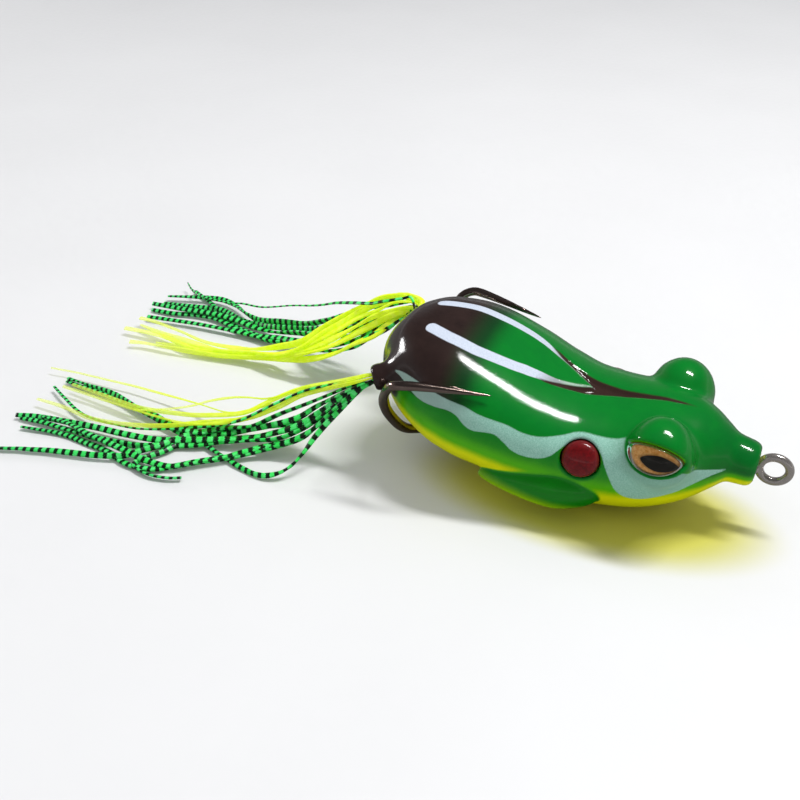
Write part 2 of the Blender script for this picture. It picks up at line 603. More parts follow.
def paint_fields(o, P, N):
    """Distances and masks the paint is driven by, at every vertex (P lure frame, mm)."""
    x, y, z = P.T
    zc, w, up, down = section(x)
    side = np.sign(y)
    outer = np.ones(len(P))
    r = np.sqrt((y / w) ** 2 + ((z - zc) / np.where(z > zc, up, down)) ** 2)
    skin = (1 / np.maximum(r, 1e-3) - 1) * np.hypot(y, z - zc) < 1.1
    poly = smooth_path([(a, b, 0) for a, b in SIDE_STRIPE + SIDE_STRIPE[:1]], 260)[:-1, :2]
    stripe = polygon_distance(x, z, poly)
    stripe = np.where(np.abs(y) > 0.35 * w, stripe, -3.0)
    back, tear, wedge = back_shapes(x, y)
    top = (z > zc + 0.35 * up) & (N[:, 2] > 0.05)
    back = np.where(top, back, -3.0)
    wedge = np.where(top, wedge, -3.0)
    tear = np.where(top, tear, -3.0)
    attribute(o, "stripe", stripe)
    attribute(o, "back", back)
    attribute(o, "wedge", wedge)
    attribute(o, "tear", tear)
    # brown saddle at the rear, ending above the side stripe
    low = np.interp(x, [-62, -58, -54, -50], [2.0, 3.2, 3.8, 4.2])
    brown = smoothstep(-41.6, -53.4, x - 0.05 * np.maximum(z - 6, 0) - 0.05 * np.maximum(np.abs(y) - 6, 0))
    brown = brown * smoothstep(low - 0.9, low + 0.9, z)
    nub = np.full(len(P), 1e9)
    for s in (1, -1):
        along, away, length = axis_distance(P, NUB_ROOT * (1, s, 1), NUB_MOUTH * (1, s, 1))
        nub = np.minimum(nub, np.where(along > 0.5, away, away + 3))
    brown = np.maximum(brown, smoothstep(4.4, 2.9, nub) * smoothstep(-56.5, -59.0, x))
    attribute(o, "brown", brown)
    # belly fade: how far round towards the underside the skin faces
    drop = np.where(z < zc, (zc - z) / down, 0.0)
    attribute(o, "drop", drop)
    attribute(o, "facing", N[:, 2])
    leg = np.minimum(foreleg_distance(P, 1), foreleg_distance(P, -1))
    attribute(o, "leg", leg)
    lead = np.zeros(len(P))
    tilt = 0.9 * (z + 6.9) + 0.10 * (x + 32.8)
    attribute(o, "leg_height", tilt)
    dome = np.minimum(np.linalg.norm(P - EYE_CENTRE, axis=1), np.linalg.norm(P - EYE_CENTRE * (1, -1, 1), axis=1))
    attribute(o, "dome", dome - EYE_R)
    eye = np.full(len(P), 9.0)
    ear = np.full(len(P), 9.0)
    for s in (1, -1):
        c, u, v, n3 = almond_axes(s)
        q = P - c
        eye = np.where(q @ n3 > 1.2, np.minimum(eye, almond(q @ u, q @ v)), eye)
        e, ax = EAR_AT * (1, s, 1), EAR_DIR * (1, s, 1)
        along, away, _ = axis_distance(P, e, e + ax)
        ear = np.where(along > -1.2, np.minimum(ear, away - EAR_R - 0.15), ear)
    attribute(o, "eye_edge", eye)
    attribute(o, "ear_edge", ear)
    attribute(o, "station", x)
    attribute(o, "inner", 1.0 - skin.astype(float) * (dome > 0).astype(float))


def body_material():
    p = Paint("body_paint")
    co = p.coords()
    speck = p.noise(co, 7.0, 3.0, 0.65)
    fine = p.noise(co, 16.0, 2.0, 0.6)
    cloud = p.noise(co, 0.35, 3.0, 0.55)
    spray = p.math("MULTIPLY", p.math("SUBTRACT", speck, 0.5), 0.22)
    spray_wide = p.math("MULTIPLY", p.math("SUBTRACT", cloud, 0.5), 0.5)
    station = p.attr("station")
    # green airbrush coat: deeper on the back and snout, livelier on the flank
    green = p.mix(p.step(p.attr("facing"), 0.85, 0.05), srgb(0, 109, 34), srgb(0, 119, 14))
    green = p.mix(p.step(p.math("ADD", station, p.math("MULTIPLY", spray_wide, 6.0)), -17.0, -5.0, 0.0, 0.75),
                  green, srgb(0, 88, 30))
    green = p.mix(p.step(cloud, 0.35, 0.7, 0.0, 0.20), green, srgb(0, 130, 30))
    green = p.mix(p.step(fine, 0.62, 0.8, 0.0, 0.12), green, srgb(40, 160, 60))
    # chartreuse belly, faded in
    drop = p.math("ADD", p.attr("drop"), p.math("ADD", spray, p.math("MULTIPLY", spray_wide, 0.2)))
    facing = p.math("MULTIPLY", p.attr("facing"), -1.0)
    low = p.math("ADD", p.math("MULTIPLY", drop, 0.55), p.math("MULTIPLY", facing, 0.55))
    lime = p.mix(p.step(low, 0.22, 0.46), srgb(76, 168, 6), srgb(212, 218, 8))
    col = p.mix(p.step(low, -0.07, 0.22), green, lime)
    # foreleg
    leg_in = p.step(p.math("MULTIPLY", p.attr("leg"), -1.0), -0.35, -0.05)
    legcol = p.mix(p.step(p.math("ADD", p.attr("leg_height"), p.math("MULTIPLY", spray, 2.0)), -2.6, 0.2),
                   srgb(150, 195, 10), srgb(4, 114, 10))
    col = p.mix(leg_in, col, legcol)
    # rear saddle
    brown = p.math("ADD", p.attr("brown"), p.math("MULTIPLY", spray, 0.35))
    brown_col = p.mix(cloud, srgb(30, 21, 20), srgb(50, 36, 33))
    col = p.mix(p.step(brown, 0.04, 0.46, 0.0, 0.86), col, srgb(14, 40, 22))
    col = p.mix(p.step(brown, 0.38, 0.92), col, brown_col)
    # halo round the ear bead
    halo = p.math("MULTIPLY", p.step(p.attr("ear_edge"), 1.3, 0.1), p.step(p.attr("facing"), 0.25, -0.2))
    col = p.mix(p.math("MULTIPLY", halo, 0.75), col, srgb(70, 160, 10))
    # side stripe and cheek patch, speckled
    stripe = p.math("ADD", p.attr("stripe"), p.math("MULTIPLY", spray, 0.9))
    pale = p.mix(p.step(speck, 0.38, 0.62), srgb(122, 174, 154), srgb(154, 198, 184))
    pale = p.mix(p.step(fine, 0.60, 0.75, 0.0, 0.35), pale, srgb(178, 214, 202))
    pale = p.mix(p.step(station, -40.0, -52.0, 0.0, 0.7), pale, srgb(140, 156, 152))
    pale = p.mix(p.step(p.attr("eye_edge"), 2.6, 0.3, 0.0, 0.45), pale, srgb(84, 124, 100))
    dome_cut = p.step(p.attr("dome"), -0.2, 0.15)
    low_dome = p.step(p.attr("facing"), 0.22, 0.0)
    on_side = p.math("MAXIMUM", dome_cut, low_dome)
    stripe_in = p.math("MULTIPLY", p.step(stripe, -0.10, 0.12), on_side)
    col = p.mix(stripe_in, col, pale)
    # back stripes
    silver = p.mix(p.step(speck, 0.35, 0.65), srgb(176, 186, 202), srgb(200, 207, 220))
    silver = p.mix(p.step(station, -37.8, -34.4, 0.0, 0.62), silver, srgb(112, 118, 104))
    silver = p.mix(p.step(station, -34.5, -32.5, 0.0, 0.85), silver, srgb(168, 196, 176))
    back_in = p.step(p.math("ADD", p.attr("back"), p.math("MULTIPLY", spray, 0.3)), -0.10, 0.12)
    col = p.mix(back_in, col, silver)
    # wedge between the shoulders, and the grey-brown shade where the stripes run into it
    wedge_in = p.math("MULTIPLY", p.step(p.math("ADD", p.attr("wedge"), p.math("MULTIPLY", spray, 0.3)), -0.12, 0.16),
                      p.step(station, -38.6, -35.2))
    col = p.mix(wedge_in, col, p.mix(speck, srgb(38, 24, 22), srgb(62, 42, 36)))
    # bare moulding inside
    col = p.mix(p.attr("inner"), col, srgb(150, 175, 40))
    ripple = p.noise(p.stretch(co, (0.35, 1.0, 1.0)), 1.3, 4.0, 0.6)
    orange = p.noise(co, 3.2, 2.0, 0.5)
    nrm = p.bump(ripple, 0.10, 0.00012)
    nrm = p.bump(orange, 0.06, 0.00005, nrm)
    coat_n = p.bump(p.noise(p.stretch(co, (0.5, 2.0, 2.0)), 3.0, 5.0, 0.75), 0.12, 0.00008)
    rough = p.step(speck, 0.3, 0.7, 0.30, 0.42)
    sh = p.principled(Base_Color=col, Roughness=rough, Normal=nrm, Coat_Weight=p.step(p.attr("facing"), -0.35, 0.12, 0.18, 1.0),
                      Coat_Roughness=0.045,
                      Coat_IOR=1.5, Coat_Normal=coat_n, Specular_IOR_Level=0.05)
    return p.finish(sh)


# ------------------------------------------------------------------ build the pieces
H = 0.33
P, Q, N = body_mesh(H)
body = mesh_from("soft_body", P, Q)
paint_fields(body, P, N)
body.data.materials.append(body_material())
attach(body, "lure_body")
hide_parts("body_shell")


# eyes: a domed almond iris under a clear cap
def almond_shell(side, r_out, r_in, shrink, rim, rings=22, spokes=96):
    """Almond patch of a spherical shell with a rounded rim. Returns vertices, faces and (u, v) per vertex."""
    c, u, v, n = almond_axes(side)
    a, hu, hd = EYE_HALF_LENGTH - shrink, EYE_UP - shrink, EYE_DOWN - shrink
    verts, uv = [], []

    def add(p, q, r):
        verts.append(c + u * p + v * q + n * math.sqrt(max(r * r - p * p - q * q, 0.01)))
        uv.append((p, q))

    stations = [(i / rings, 0.0) for i in range(1, rings + 1)]
    layers = []
    for s, _ in stations:
        edge = (1 - s) * min(a, hu, hd)
        fall = (rim - math.sqrt(max(rim * rim - max(rim - edge, 0) ** 2, 0)))
        layers.append((s, r_out - fall))
    layers += [(1.0, r_out - rim - (r_out - rim - r_in) * 0.5)]
    layers += [(s, r_in) for s, _ in reversed(stations)]
    add(0, 0, r_out)
    for s, r in layers:
        for i in range(spokes):
            t = 2 * math.pi * i / spokes
            k = math.sin(t)
            q = (hu if k > 0 else hd) * math.copysign(abs(k) ** 1.15, k)
            add(a * math.cos(t) * s, q * s, r)
    add(0, 0, r_in)
    faces = []
    for i in range(spokes):
        j = (i + 1) % spokes
        faces.append((0, 1 + i, 1 + j))
        for L in range(len(layers) - 1):
            b0, b1 = 1 + L * spokes, 1 + (L + 1) * spokes
            faces.append((b0 + i, b1 + i, b1 + j, b0 + j))
        b = 1 + (len(layers) - 1) * spokes
        faces.append((b + j, b + i, len(verts) - 1))
    if side < 0:
        faces = [tuple(reversed(f)) for f in faces]
    return np.array(verts), faces, np.array(uv)


def iris_material():
    p = Paint("iris_gold_paint")
    pu, pv = p.attr("eye_u"), p.attr("eye_v")
    co = p.coords()
    grain = p.noise(co, 9.0, 3.0, 0.6)
    # pupil: a lens shape, longer than high
    uu = p.math("SUBTRACT", pu, 1.05)
    vv = p.math("SUBTRACT", pv, -0.52)
    e = p.math("ADD", p.math("POWER", p.math("ABSOLUTE", p.math("DIVIDE", uu, 2.70)), 1.7),
               p.math("POWER", p.math("ABSOLUTE", p.math("DIVIDE", vv, 1.22)), 1.5))
    pupil = p.step(p.math("ADD", e, p.math("MULTIPLY", p.math("SUBTRACT", grain, 0.5), 0.10)), 1.06, 0.94)
    ray = p.noise(p.stretch(co, (1.0, 1.0, 1.0)), 2.6, 4.0, 0.7)
    gold = p.mix(p.step(ray, 0.35, 0.65), srgb(228, 164, 84), srgb(252, 208, 138))
    gold = p.mix(p.step(grain, 0.60, 0.72, 0.0, 0.45), gold, srgb(160, 96, 40))
    rim = p.attr("eye_rim")
    gold = p.mix(p.step(rim, 0.80, 0.98, 0.0, 0.85), gold, srgb(70, 42, 20))
    near_pupil = p.step(e, 1.5, 1.0, 0.0, 0.45)
    gold = p.mix(near_pupil, gold, srgb(120, 70, 30))
    col = p.mix(pupil, gold, srgb(6, 5, 6))
    met = p.step(pupil, 0.0, 1.0, 0.2, 0.0)
    sh = p.principled(Base_Color=col, Metallic=met, Roughness=0.32,
                      Normal=p.bump(ray, 0.25, 0.00006), Coat_Weight=0.2, Coat_Roughness=0.05, Specular_IOR_Level=0.3)
    return p.finish(sh)


def clear_material():
    p = Paint("clear_cap")
    co = p.coords()
    fres = p.node("ShaderNodeFresnel")
    fres.inputs["IOR"].default_value = 1.3
    p.put(fres.inputs["Normal"], p.bump(p.noise(co, 1.6, 3.0, 0.5), 0.05, 0.00005))
    gloss = p.node("ShaderNodeBsdfGlossy")
    gloss.inputs["Color"].default_value = (1, 1, 1, 1)
    p.put(gloss.inputs["Roughness"], p.step(p.noise(co, 6.0), 0.3, 0.7, 0.02, 0.06))
    clear = p.node("ShaderNodeBsdfTransparent")
    p.put(clear.inputs["Color"], p.mix(p.noise(co, 0.8), (0.97, 0.95, 0.90, 1), (1.0, 0.99, 0.95, 1)))
    mix = p.node("ShaderNodeMixShader")
    p.put(mix.inputs[0], fres.outputs[0])
    p.put(mix.inputs[1], clear.outputs[0])
    p.put(mix.inputs[2], gloss.outputs[0])
    return p.finish(mix.outputs[0])


def bead_material():
    p = Paint("ear_bead_red")
    co = p.coords()
    grain = p.noise(co, 2.2, 3.0, 0.6)
    edge = p.attr("bead_r")
    col = p.mix(p.step(grain, 0.3, 0.7), srgb(84, 4, 8), srgb(110, 8, 14))
    col = p.mix(p.step(edge, 0.65, 1.0, 0.0, 0.45), col, srgb(112, 34, 38))
    sh = p.principled(Base_Color=col, Roughness=0.28, Coat_Weight=1.0, Coat_Roughness=0.05, Coat_IOR=1.4, Specular_IOR_Level=0.2,
                      Normal=p.bump(grain, 0.12, 0.00006), Subsurface_Weight=0.0)
    return p.finish(sh)


iris_mat, clear_mat, bead_mat = iris_material(), clear_material(), bead_material()
for side, tag in ((1, "left"), (-1, "right")):
    v, f, uv = almond_shell(side, 4.84, 4.45, 0.14, 0.16)
    o = mesh_from("iris_" + tag, v, f)
    attribute(o, "eye_u", uv[:, 0])
    attribute(o, "eye_v", uv[:, 1])
    attribute(o, "eye_rim", np.sqrt((uv[:, 0] / (EYE_HALF_LENGTH - 0.2)) ** 2
                                    + (np.abs(uv[:, 1]) / np.where(uv[:, 1] > 0, EYE_UP - 0.2, EYE_DOWN - 0.2)) ** 1.74))
    o.data.materials.append(iris_mat)
    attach(o, "lure_body"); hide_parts("eye_iris_" + tag)
    v, f, uv = almond_shell(side, 5.38, 4.92, 0.16, 0.12)
    o = mesh_from("eye_cap_" + tag, v, f)
    o.data.materials.append(clear_mat)
    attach(o, "lure_body"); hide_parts("eye_lens_" + tag)
    prof = [(-0.75, 0.0), (-0.75, EAR_R - 0.25), (-0.68, EAR_R - 0.08), (-0.5, EAR_R)]
    prof += [(0.35, EAR_R)]
    for k in range(1, 15):
        a = math.pi / 2 * k / 14
        prof.append((0.35 + 1.33 * math.sin(a) ** 0.9, EAR_R * math.cos(a) ** 0.8 if k < 14 else 0.0))
    v, f = lathe(prof, EAR_AT * (1, side, 1), EAR_DIR * (1, side, 1))
    o = mesh_from("ear_bead_" + tag + "_fine", v, f)
    q = v - EAR_AT * (1, side, 1)
    ax = EAR_DIR * (1, side, 1)
    attribute(o, "bead_r", np.linalg.norm(q - np.outer(q @ ax, ax), axis=1) / EAR_R)
    o.data.materials.append(bead_mat)
    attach(o, "lure_body"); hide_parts("ear_bead_" + tag)


# ------------------------------------------------------------------ hook
def unioned(name, pieces):
    """One solid from overlapping closed meshes given as (vertices, faces)."""
    base = None
    extra = []
    for i, (v, f) in enumerate(pieces):
        o = mesh_from(name if i == 0 else name + "_tool%d" % i, v, f)
        if base is None:
            base = o
        else:
            m = base.modifiers.new("join%d" % i, "BOOLEAN")
            m.operation, m.solver, m.object = "UNION", "EXACT", o
            extra.append(o)
    bpy.context.view_layer.update()
    dg = bpy.context.evaluated_depsgraph_get()
    me = bpy.data.meshes.new_from_object(base.evaluated_get(dg))
    base.modifiers.clear()
    base.data = me
    for o in extra:
        bpy.data.objects.remove(o, do_unlink=True)
    me.polygons.foreach_set("use_smooth", [True] * len(me.polygons))
    return base


path = smooth_path(HOOK_HALF, 260)
left = np.concatenate([np.cumsum(np.linalg.norm(np.diff(path, axis=0), axis=1)[::-1])[::-1], [0.0]])
radius = 0.74 * (np.clip(left / 12.0, 0, 1) ** 0.62 * 0.95 + 0.05)
radius = radius * (1 + 0.22 * smoothstep(-56.0, -58.2, path[:, 0]) * smoothstep(3.0, -1.0, path[:, 2]))     # stout bend
pieces = []
for side in (1, -1):
    v, f, _ = sweep(path * (1, side, 1), radius, radius, 20)
    pieces.append((v, f))
rv, rf = [], []
for i in range(96):
    a = 2 * math.pi * i / 96
    for j in range(24):
        b = 2 * math.pi * j / 24
        y = 0.60 * math.copysign(abs(math.sin(b)) ** 0.85, math.sin(b))
        r = RING_R + WIRE_R * math.cos(b)
        rv.append((r * math.cos(a), y, r * math.sin(a)))
for i in range(96):
    for j in range(24):
        k, l = (i + 1) % 96, (j + 1) % 24
        rf.append((i * 24 + j, i * 24 + l, k * 24 + l, k * 24 + j))
pieces.append((np.array(rv), rf))
tip = np.array(HOOK_HALF[-1])
back = np.array(HOOK_HALF[-3]) - tip
back /= np.linalg.norm(back)
for side in (1, -1):
    fdir = back * (1, side, 1)
    start = tip * (1, side, 1) + fdir * 4.2
    upd = np.array((0.05, -0.5 * side, 0.86))
    upd -= fdir * (upd @ fdir)
    upd /= np.linalg.norm(upd)
    line = [start - fdir * 0.6 + upd * 0.05, start + fdir * 0.6 + upd * 0.34, start + fdir * 1.5 + upd * 0.60,
            start + fdir * 2.1 + upd * 0.72]
    v, f, _ = sweep(smooth_path(line, 14), np.linspace(0.30, 0.07, 14), np.linspace(0.36, 0.05, 14), 10)
    pieces.append((v, f))
hook = unioned("double_hook_wire", pieces)


def hook_material():
    p = Paint("black_nickel_plate")
    co = p.coords()
    cloud = p.noise(co, 0.5, 4.0, 0.6)
    scratch = p.noise(p.stretch(co, (0.4, 3.0, 3.0)), 5.0, 3.0, 0.7)
    col = p.mix(cloud, srgb(150, 124, 114), srgb(178, 160, 152))
    col = p.mix(p.step(scratch, 0.58, 0.72, 0.0, 0.35), col, srgb(205, 198, 192))
    sep = p.node("ShaderNodeSeparateXYZ")
    p.put(sep.inputs[0], co)
    col = p.mix(p.step(sep.outputs["X"], 20.0, 24.0, 0.0, 0.85), col, srgb(222, 216, 210))
    rough = p.step(scratch, 0.3, 0.75, 0.13, 0.26)
    sh = p.principled(Base_Color=col, Metallic=p.step(sep.outputs["X"], 20.0, 24.0, 1.0, 0.86), Roughness=rough, Normal=p.bump(scratch, 0.06, 0.00003))
    return p.finish(sh)


hook.data.materials.clear()
hook.data.materials.append(hook_material())
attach(hook, "hook"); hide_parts("double_hook")


def lead_material():
    p = Paint("cast_lead")
    co = p.coords()
    n = p.noise(co, 1.4, 5.0, 0.65)
    pits = p.voronoi(co, 1.1)
    col = p.mix(n, srgb(92, 94, 100), srgb(140, 142, 148))
    sh = p.principled(Base_Color=col, Metallic=0.9, Roughness=p.step(n, 0.3, 0.7, 0.42, 0.62),
                      Normal=p.bump(pits, 0.2, 0.0001, p.bump(n, 0.3, 0.0001)))
    return p.finish(sh)


def rubber_material():
    p = Paint("plug_rubber_moulded")
    co = p.coords()
    n = p.noise(co, 4.0, 4.0, 0.6)
    sh = p.principled(Base_Color=p.mix(n, srgb(24, 24, 25), srgb(44, 43, 42)), Roughness=p.step(n, 0.3, 0.7, 0.55, 0.75),
                      Normal=p.bump(n, 0.3, 0.00005))
    return p.finish(sh)


def repaint(node, mat):
    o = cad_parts[node]
    o.data.materials.clear()
    o.data.materials.append(mat)


repaint("keel_weight", lead_material())
rubber = rubber_material()
for side, tag in ((1, "left"), (-1, "right")):
    root, mouth = NUB_ROOT * (1, side, 1), NUB_MOUTH * (1, side, 1)
    prof = [(0.0, 0.0), (0.0, 0.34), (0.12, 0.46), (0.4, 0.58), (0.75, 0.73), (0.95, 0.78), (1.15, 0.78), (1.25, 0.66),
            (1.25, 0.0)]                                 # tapers inwards, so that it can swing in the socket
    ax = (mouth - root) / np.linalg.norm(mouth - root)
    v, f = lathe(prof, mouth - ax * 2.4, ax, 40)
    o = mesh_from("skirt_plug_" + tag + "_fine", v, f)
    o.data.materials.append(rubber)
    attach(o, "skirt_root_" + tag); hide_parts("skirt_plug_" + tag)

# ------------------------------------------------------------------ skirts
# Ribbons as they lie on the ground with the lure at rest: CAD strand they belong to, colour, width, pitch of the
# printed bars near the body and at the tip, then control points in the ground frame (mm).
RIGHT = [
    ("a", "y", 0.62, [(-50, -8.8, 10.5), (-55.5, -11, 7.5), (-59.5, -13, 5.5), (-67, -14, 3.6), (-72.5, -14.5, 2.8),
                      (-79.5, -15, 2.4), (-88, -14.5, 2.2), (-96.5, -14, 2.0)]),
    ("a", "y", 0.6, [(-49.5, -9.4, 10.2), (-55, -11.8, 7.0), (-59.5, -13.8, 4.9), (-66.5, -15, 3.2), (-71.5, -17, 2.4),
                     (-76.5, -19, 2.2), (-82.5, -20.5, 2.0), (-88, -21, 1.9), (-94, -20, 1.8), (-99.5, -19.5, 1.7)]),
    ("c", "y", 0.6, [(-48.5, -10, 10.8), (-53, -12.5, 8.0), (-58, -15, 5.7), (-64, -16, 3.9), (-71, -16.5, 2.6),
                     (-77, -16.5, 2.3), (-83.5, -16, 2.2), (-89.5, -15.5, 2.1), (-97.5, -15.5, 2.0)]),
    ("c", "y", 0.42, [(-49.5, -8.6, 11.0), (-55, -10.4, 8.4), (-61, -10, 6.4), (-67, -10.5, 4.6), (-71, -12.5, 3.5),
                     (-75.5, -14.5, 2.8), (-80.5, -16.5, 2.4)]),
    ("a", "y", 0.35, [(-49, -8.2, 10.4), (-54, -10.4, 7.6), (-59.5, -11.6, 5.2), (-64, -11.8, 3.7), (-72, -10, 2.4),
                      (-81.5, -9.5, 1.8), (-90, -9.5, 1.7), (-97, -9.5, 1.6), (-104.5, -10.5, 1.5)]),
    ("b", "g", 0.5, [(-48, -10.2, 11.8), (-53, -12.4, 9.0), (-58.8, -15.2, 5.6), (-65, -15.6, 2.8), (-70.5, -17.4, 1.9),
                     (-76.5, -19.5, 1.6), (-82.5, -20, 1.5), (-89.5, -19.5, 1.4), (-95.5, -17, 1.3), (-100, -14.5, 1.2)]),
    ("b", "g", 0.85, [(-44.5, -9.8, 11.4), (-49, -10.8, 8.6), (-53, -12.0, 6.4), (-57.5, -13.8, 4.0), (-63, -14.4, 2.6),
                      (-66, -16.5, 2.1), (-68.5, -17, 1.9), (-73.5, -16.5, 1.7), (-80.5, -14.5, 1.6), (-87.5, -12.5, 1.4),
                      (-94, -12, 1.2), (-99.5, -11.5, 1.1)]),
    ("d", "g", 0.75, [(-46, -10.8, 9.4), (-49, -12, 7.0), (-53.5, -13, 4.8), (-59, -14, 2.6), (-63, -15.5, 1.5),
                      (-67.5, -17, 1.2), (-71, -17, 1.1), (-77.5, -15, 1.0), (-85.5, -13.5, 0.9), (-92.5, -12.6, 0.9),
                      (-99.5, -12, 0.8)]),
    ("i", "g", 0.8, [(-45, -11, 8.8), (-48.5, -12, 6.4), (-53.5, -13, 4.4), (-59, -13.5, 2.6), (-64, -15, 1.9),
                     (-68, -18, 1.6), (-70.5, -21.5, 1.5), (-73, -24.5, 1.4), (-75.5, -27, 1.3), (-81, -28.5, 1.1),
                     (-88, -30.5, 0.9), (-92, -32, 0.8), (-97, -33.6, 0.7), (-101, -34.6, 0.7)]),
    ("e", "g", 0.85, [(-45, -11.4, 9.0), (-48.5, -12.8, 6.2), (-52.5, -14, 4.2), (-56.5, -15.2, 2.7), (-61.5, -17, 2.0),
                      (-66.5, -18.8, 1.7), (-72, -21, 1.5), (-79, -22, 1.4), (-85.5, -22.5, 1.3), (-91, -23, 1.2),
                      (-96.5, -23.5, 1.1), (-100.5, -24.5, 1.0)]),
    ("e", "g", 0.85, [(-44.5, -11.8, 8.6), (-48, -13.6, 5.6), (-52, -15, 3.6), (-57, -15.4, 2.2), (-62, -17, 1.4),
                      (-66, -19.4, 1.1), (-71, -21.5, 1.0), (-76, -23.5, 0.9), (-81.5, -24.2, 0.9), (-87, -24, 0.8),
                      (-94, -24, 0.8), (-99.5, -24.6, 0.7)]),
    ("f", "g", 0.8, [(-44.5, -12.4, 7.8), (-47, -14.2, 5.0), (-51, -15.6, 3.0), (-55, -17.2, 1.7), (-58.5, -19.8, 1.2),
                     (-62.5, -22.5, 0.9), (-66, -25.2, 0.8), (-69, -27.2, 0.8), (-73.5, -27.5, 0.7), (-79, -26, 0.7),
                     (-84.5, -25.6, 0.6), (-90, -25.4, 0.6), (-97.5, -26.5, 0.6)]),
    ("h", "g", 0.85, [(-43.5, -12, 8.6), (-46.5, -13.8, 5.8), (-50, -15, 3.6), (-54, -16.6, 2.2), (-57, -18.8, 1.6),
                      (-59.5, -21, 1.3), (-63.5, -23.8, 1.2), (-67, -26, 1.2), (-71.5, -26.2, 1.3), (-75.5, -25.4, 1.5),
                      (-79.5, -25, 1.6), (-85, -24.6, 1.6), (-90, -23.6, 1.5), (-95.5, -23.6, 1.4)]),
    ("f", "g", 0.7, [(-45, -11.6, 8.0), (-49, -13, 5.4), (-54, -14, 3.2), (-59, -15.4, 1.9), (-64, -17.4, 1.3),
                     (-68, -19.4, 1.1), (-70, -22.5, 1.0), (-72, -25.6, 0.9), (-72.4, -28, 0.8), (-69, -29, 0.7),
                     (-65.6, -28.4, 0.6), (-63.2, -27.2, 0.6)]),
    ("g", "g", 0.7, [(-42.5, -12.4, 9.0), (-44.6, -14.6, 6.0), (-45.8, -16.8, 3.8), (-47.2, -19, 2.2), (-49.5, -20.8, 1.2),
                     (-52, -21.6, 0.8), (-55.5, -21.2, 0.6), (-59.5, -20, 0.6), (-63.5, -18.5, 0.8), (-66.5, -17, 1.2)]),
]
